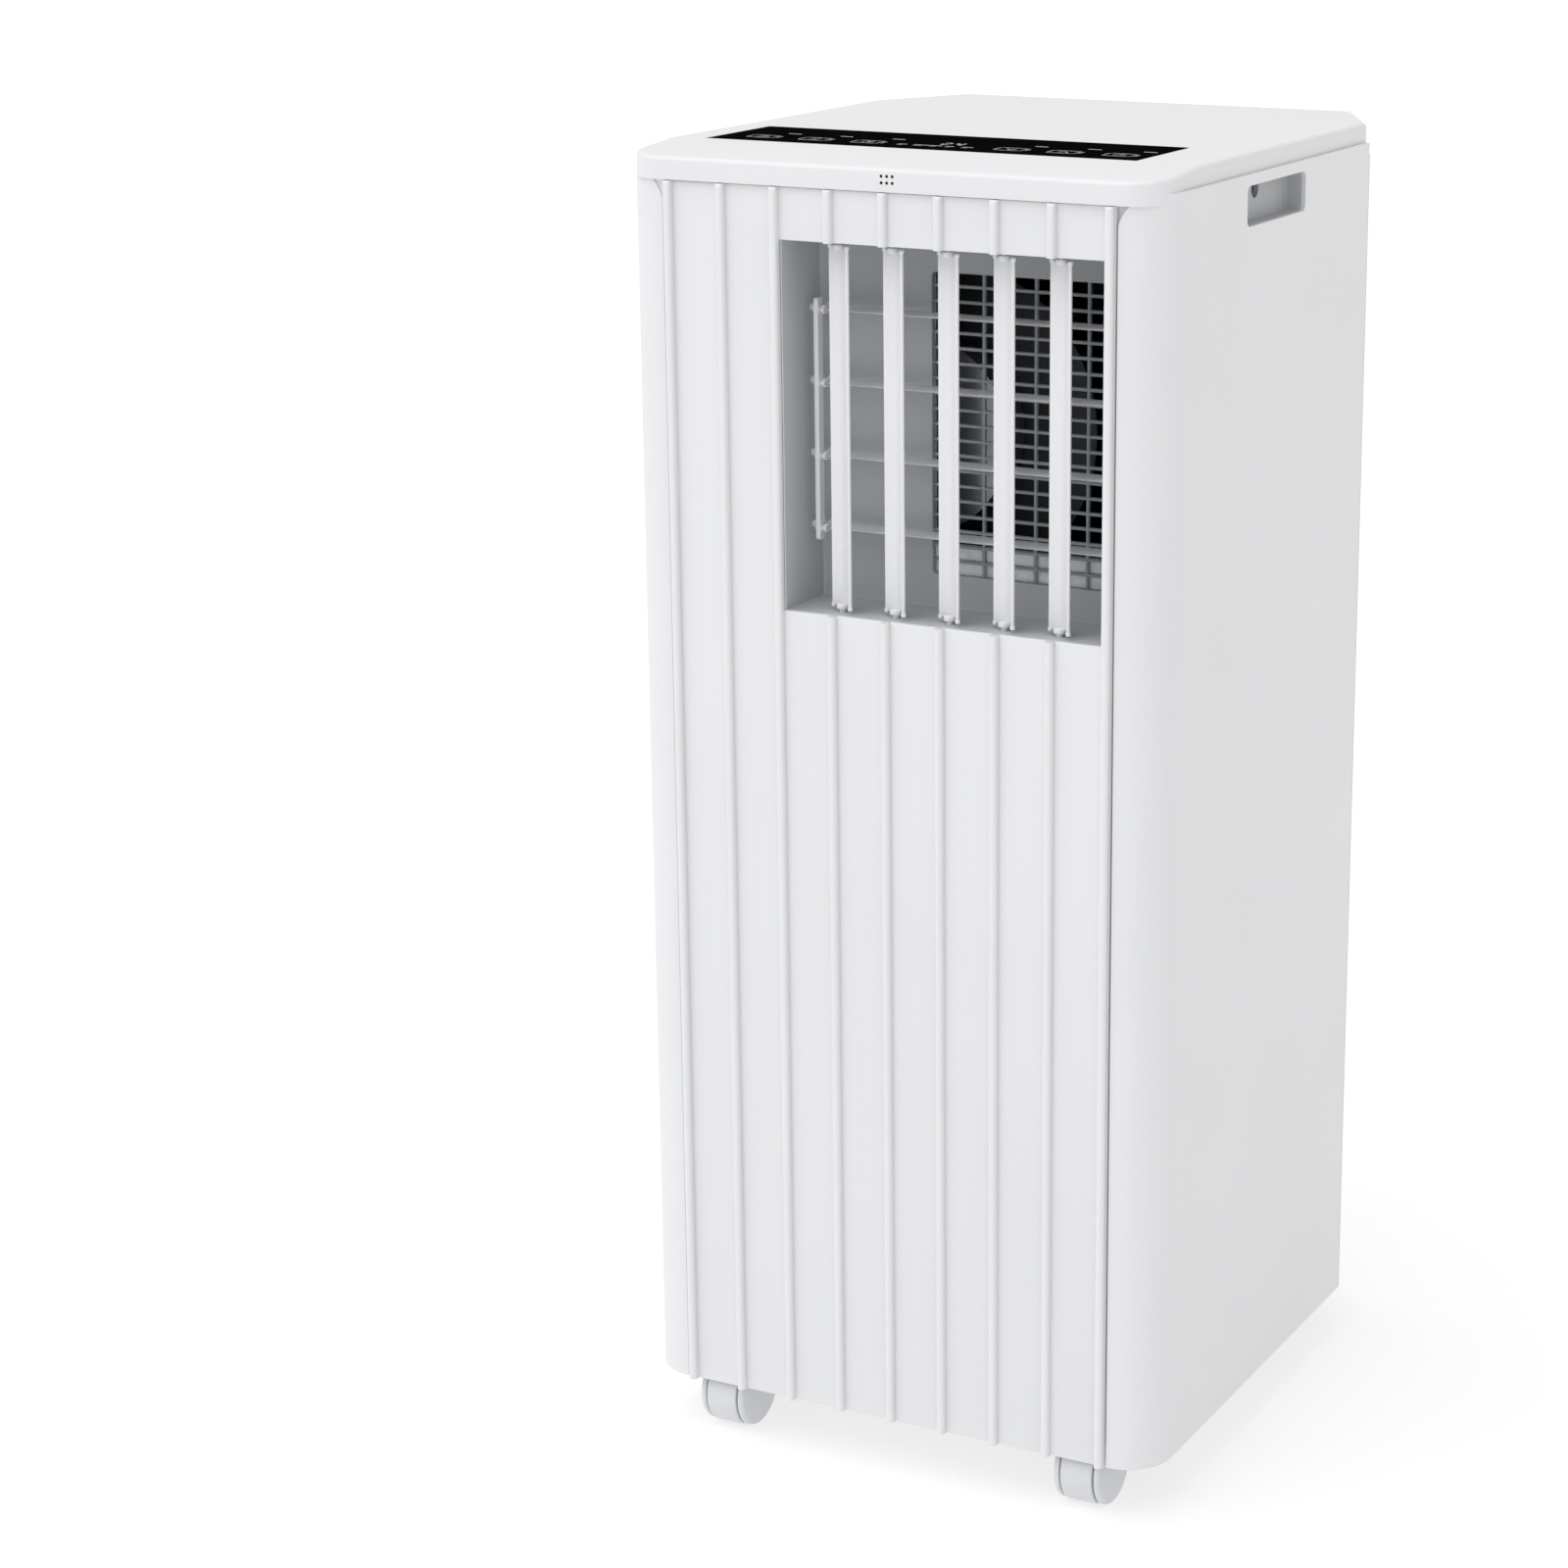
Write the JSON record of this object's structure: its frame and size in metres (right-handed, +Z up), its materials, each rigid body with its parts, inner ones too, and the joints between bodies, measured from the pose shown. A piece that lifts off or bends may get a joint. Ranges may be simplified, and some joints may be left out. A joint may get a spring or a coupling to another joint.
{
  "type": "portable air conditioner",
  "caption": "Upright portable air conditioner on casters, with a ribbed front, upright louvres and level vanes in the air outlet, a touch strip on the lid, and rear filters and hose collar.",
  "frame": {"origin": "middle of the footprint on the floor", "axes": "+Z up, the ribbed front faces -Y, +X is to the right seen from the front"},
  "size_m": [0.3, 0.331, 0.694],
  "materials": {
    "white_shell": "white moulded ABS, fine satin grain",
    "pale_plastic": "pale grey moulded ABS, satin",
    "louvre_plastic": "white moulded ABS, satin",
    "grille_grey": "mid grey moulded grille",
    "touch_glass": "black printed touch glass, polished",
    "circuit_board": "green circuit board with solder mask",
    "dark_plastic": "dark grey moulded plastic",
    "rubber": "black rubber",
    "foam": "white bead foam",
    "motor_metal": "zinc plated steel",
    "coil_metal": "bright aluminium fins",
    "black_steel": "black painted steel",
    "copper": "drawn copper",
    "screw_steel": "zinc plated screws",
    "caster_plastic": "light grey moulded nylon"
  },
  "bodies": {
    "cabinet": {"base_pan": "pale_plastic", "front_panel": "white_shell", "left_side_panel": "white_shell", "right_side_panel": "white_shell", "rear_panel": "white_shell", "top_cover": "white_shell", "left_handle_cup": "pale_plastic", "right_handle_cup": "pale_plastic", "outlet_duct": "pale_plastic", "outlet_grille": "grille_grey", "mid_deck": "pale_plastic", "deck_posts": "motor_metal", "control_glass": "touch_glass", "control_board": "circuit_board", "power_box": "dark_plastic", "capacitor": "motor_metal", "vane_motor": "motor_metal", "evaporator_coil": "coil_metal", "cold_blower_housing": "foam", "cold_blower_motor": "motor_metal", "condenser_coil": "coil_metal", "warm_blower_housing": "pale_plastic", "warm_blower_motor": "motor_metal", "compressor": "black_steel", "compressor_grommets": "rubber", "accumulator": "black_steel", "suction_pipe": "copper", "discharge_pipe": "copper", "exhaust_collar": "pale_plastic", "cord_gland": "dark_plastic", "panel_screws": "screw_steel", "caster_sockets": "dark_plastic"},
    "louvre_1": {"louvre_1": "louvre_plastic"},
    "louvre_2": {"louvre_2": "louvre_plastic"},
    "louvre_3": {"louvre_3": "louvre_plastic"},
    "louvre_4": {"louvre_4": "louvre_plastic"},
    "louvre_5": {"louvre_5": "louvre_plastic"},
    "louvre_link": {"louvre_link": "louvre_plastic"},
    "vane_1": {"vane_1": "louvre_plastic"},
    "vane_2": {"vane_2": "louvre_plastic"},
    "vane_3": {"vane_3": "louvre_plastic"},
    "vane_4": {"vane_4": "louvre_plastic"},
    "vane_link": {"vane_link": "louvre_plastic"},
    "cold_blower_wheel": {"cold_blower_wheel": "dark_plastic"},
    "warm_blower_wheel": {"warm_blower_wheel": "dark_plastic"},
    "upper_filter": {"upper_filter": "white_shell"},
    "lower_filter": {"lower_filter": "white_shell"},
    "upper_drain_cap": {"upper_drain_cap": "rubber"},
    "lower_drain_plug": {"lower_drain_plug": "rubber"},
    "caster_hood_1": {"caster_hood_1": "caster_plastic"},
    "caster_hood_2": {"caster_hood_2": "caster_plastic"},
    "caster_hood_3": {"caster_hood_3": "caster_plastic"},
    "caster_hood_4": {"caster_hood_4": "caster_plastic"},
    "caster_wheels_1": {"caster_wheels_1": "caster_plastic"},
    "caster_wheels_2": {"caster_wheels_2": "caster_plastic"},
    "caster_wheels_3": {"caster_wheels_3": "caster_plastic"},
    "caster_wheels_4": {"caster_wheels_4": "caster_plastic"}
  },
  "joints": [
    {"name": "louvre_1_turn", "type": "hinge", "parent": "cabinet", "child": "louvre_1", "pos_m": [-0.03015, -0.1515, 0.555], "axis": [0, 0, 1], "range_deg": [-60, 28]},
    {"name": "louvre_2_turn", "type": "hinge", "parent": "cabinet", "child": "louvre_2", "pos_m": [0, -0.1515, 0.555], "axis": [0, 0, 1], "range_deg": [-60, 28]},
    {"name": "louvre_3_turn", "type": "hinge", "parent": "cabinet", "child": "louvre_3", "pos_m": [0.03015, -0.1515, 0.555], "axis": [0, 0, 1], "range_deg": [-60, 28]},
    {"name": "louvre_4_turn", "type": "hinge", "parent": "cabinet", "child": "louvre_4", "pos_m": [0.0603, -0.1515, 0.555], "axis": [0, 0, 1], "range_deg": [-60, 28]},
    {"name": "louvre_5_turn", "type": "hinge", "parent": "cabinet", "child": "louvre_5", "pos_m": [0.09045, -0.1515, 0.555], "axis": [0, 0, 1], "range_deg": [-60, 28]},
    {"name": "louvre_link_turn", "type": "hinge", "parent": "louvre_3", "child": "louvre_link", "pos_m": [0.03015, -0.1435, 0.456], "axis": [0, 0, 1], "range_deg": [-28, 60]},
    {"name": "vane_1_tilt", "type": "hinge", "parent": "cabinet", "child": "vane_1", "pos_m": [0.03, -0.13, 0.504], "axis": [1, 0, 0], "range_deg": [-30, 30]},
    {"name": "vane_2_tilt", "type": "hinge", "parent": "cabinet", "child": "vane_2", "pos_m": [0.03, -0.13, 0.541], "axis": [1, 0, 0], "range_deg": [-30, 30]},
    {"name": "vane_3_tilt", "type": "hinge", "parent": "cabinet", "child": "vane_3", "pos_m": [0.03, -0.13, 0.578], "axis": [1, 0, 0], "range_deg": [-30, 30]},
    {"name": "vane_4_tilt", "type": "hinge", "parent": "cabinet", "child": "vane_4", "pos_m": [0.03, -0.13, 0.615], "axis": [1, 0, 0], "range_deg": [-30, 30]},
    {"name": "vane_link_turn", "type": "hinge", "parent": "vane_1", "child": "vane_link", "pos_m": [-0.0498, -0.138, 0.504], "axis": [1, 0, 0], "range_deg": [-30, 30]},
    {"name": "cold_blower_spin", "type": "hinge", "parent": "cabinet", "child": "cold_blower_wheel", "pos_m": [-0.018, -0.02, 0.547], "axis": [0, 1, 0], "continuous": true},
    {"name": "warm_blower_spin", "type": "hinge", "parent": "cabinet", "child": "warm_blower_wheel", "pos_m": [0, 0.013, 0.35], "axis": [0, 0, 1], "continuous": true},
    {"name": "upper_filter_pull", "type": "slide", "parent": "cabinet", "child": "upper_filter", "axis": [0, 1, 0], "range_m": [0, 0.06]},
    {"name": "lower_filter_pull", "type": "slide", "parent": "cabinet", "child": "lower_filter", "axis": [0, 1, 0], "range_m": [0, 0.06]},
    {"name": "upper_drain_pull", "type": "slide", "parent": "cabinet", "child": "upper_drain_cap", "axis": [0, 1, 0], "range_m": [0, 0.03]},
    {"name": "lower_drain_pull", "type": "slide", "parent": "cabinet", "child": "lower_drain_plug", "axis": [0, 1, 0], "range_m": [0, 0.03]},
    {"name": "caster_swivel_1", "type": "hinge", "parent": "cabinet", "child": "caster_hood_1", "pos_m": [-0.106, -0.129, 0.05], "axis": [0, 0, 1], "continuous": true},
    {"name": "caster_roll_1", "type": "hinge", "parent": "caster_hood_1", "child": "caster_wheels_1", "pos_m": [-0.106, -0.139, 0.02], "axis": [1, 0, 0], "continuous": true},
    {"name": "caster_swivel_2", "type": "hinge", "parent": "cabinet", "child": "caster_hood_2", "pos_m": [0.106, -0.129, 0.05], "axis": [0, 0, 1], "continuous": true},
    {"name": "caster_roll_2", "type": "hinge", "parent": "caster_hood_2", "child": "caster_wheels_2", "pos_m": [0.106, -0.139, 0.02], "axis": [1, 0, 0], "continuous": true},
    {"name": "caster_swivel_3", "type": "hinge", "parent": "cabinet", "child": "caster_hood_3", "pos_m": [-0.106, 0.101, 0.05], "axis": [0, 0, 1], "continuous": true},
    {"name": "caster_roll_3", "type": "hinge", "parent": "caster_hood_3", "child": "caster_wheels_3", "pos_m": [-0.106, 0.091, 0.02], "axis": [1, 0, 0], "continuous": true},
    {"name": "caster_swivel_4", "type": "hinge", "parent": "cabinet", "child": "caster_hood_4", "pos_m": [0.106, 0.101, 0.05], "axis": [0, 0, 1], "continuous": true},
    {"name": "caster_roll_4", "type": "hinge", "parent": "caster_hood_4", "child": "caster_wheels_4", "pos_m": [0.106, 0.091, 0.02], "axis": [1, 0, 0], "continuous": true}
  ],
  "couplings": [
    {"joint": "louvre_2_turn", "follows": "louvre_1_turn", "ratio": 1},
    {"joint": "louvre_3_turn", "follows": "louvre_1_turn", "ratio": 1},
    {"joint": "louvre_4_turn", "follows": "louvre_1_turn", "ratio": 1},
    {"joint": "louvre_5_turn", "follows": "louvre_1_turn", "ratio": 1},
    {"joint": "louvre_link_turn", "follows": "louvre_1_turn", "ratio": -1},
    {"joint": "vane_2_tilt", "follows": "vane_1_tilt", "ratio": 1},
    {"joint": "vane_3_tilt", "follows": "vane_1_tilt", "ratio": 1},
    {"joint": "vane_4_tilt", "follows": "vane_1_tilt", "ratio": 1},
    {"joint": "vane_link_turn", "follows": "vane_1_tilt", "ratio": -1}
  ]
}
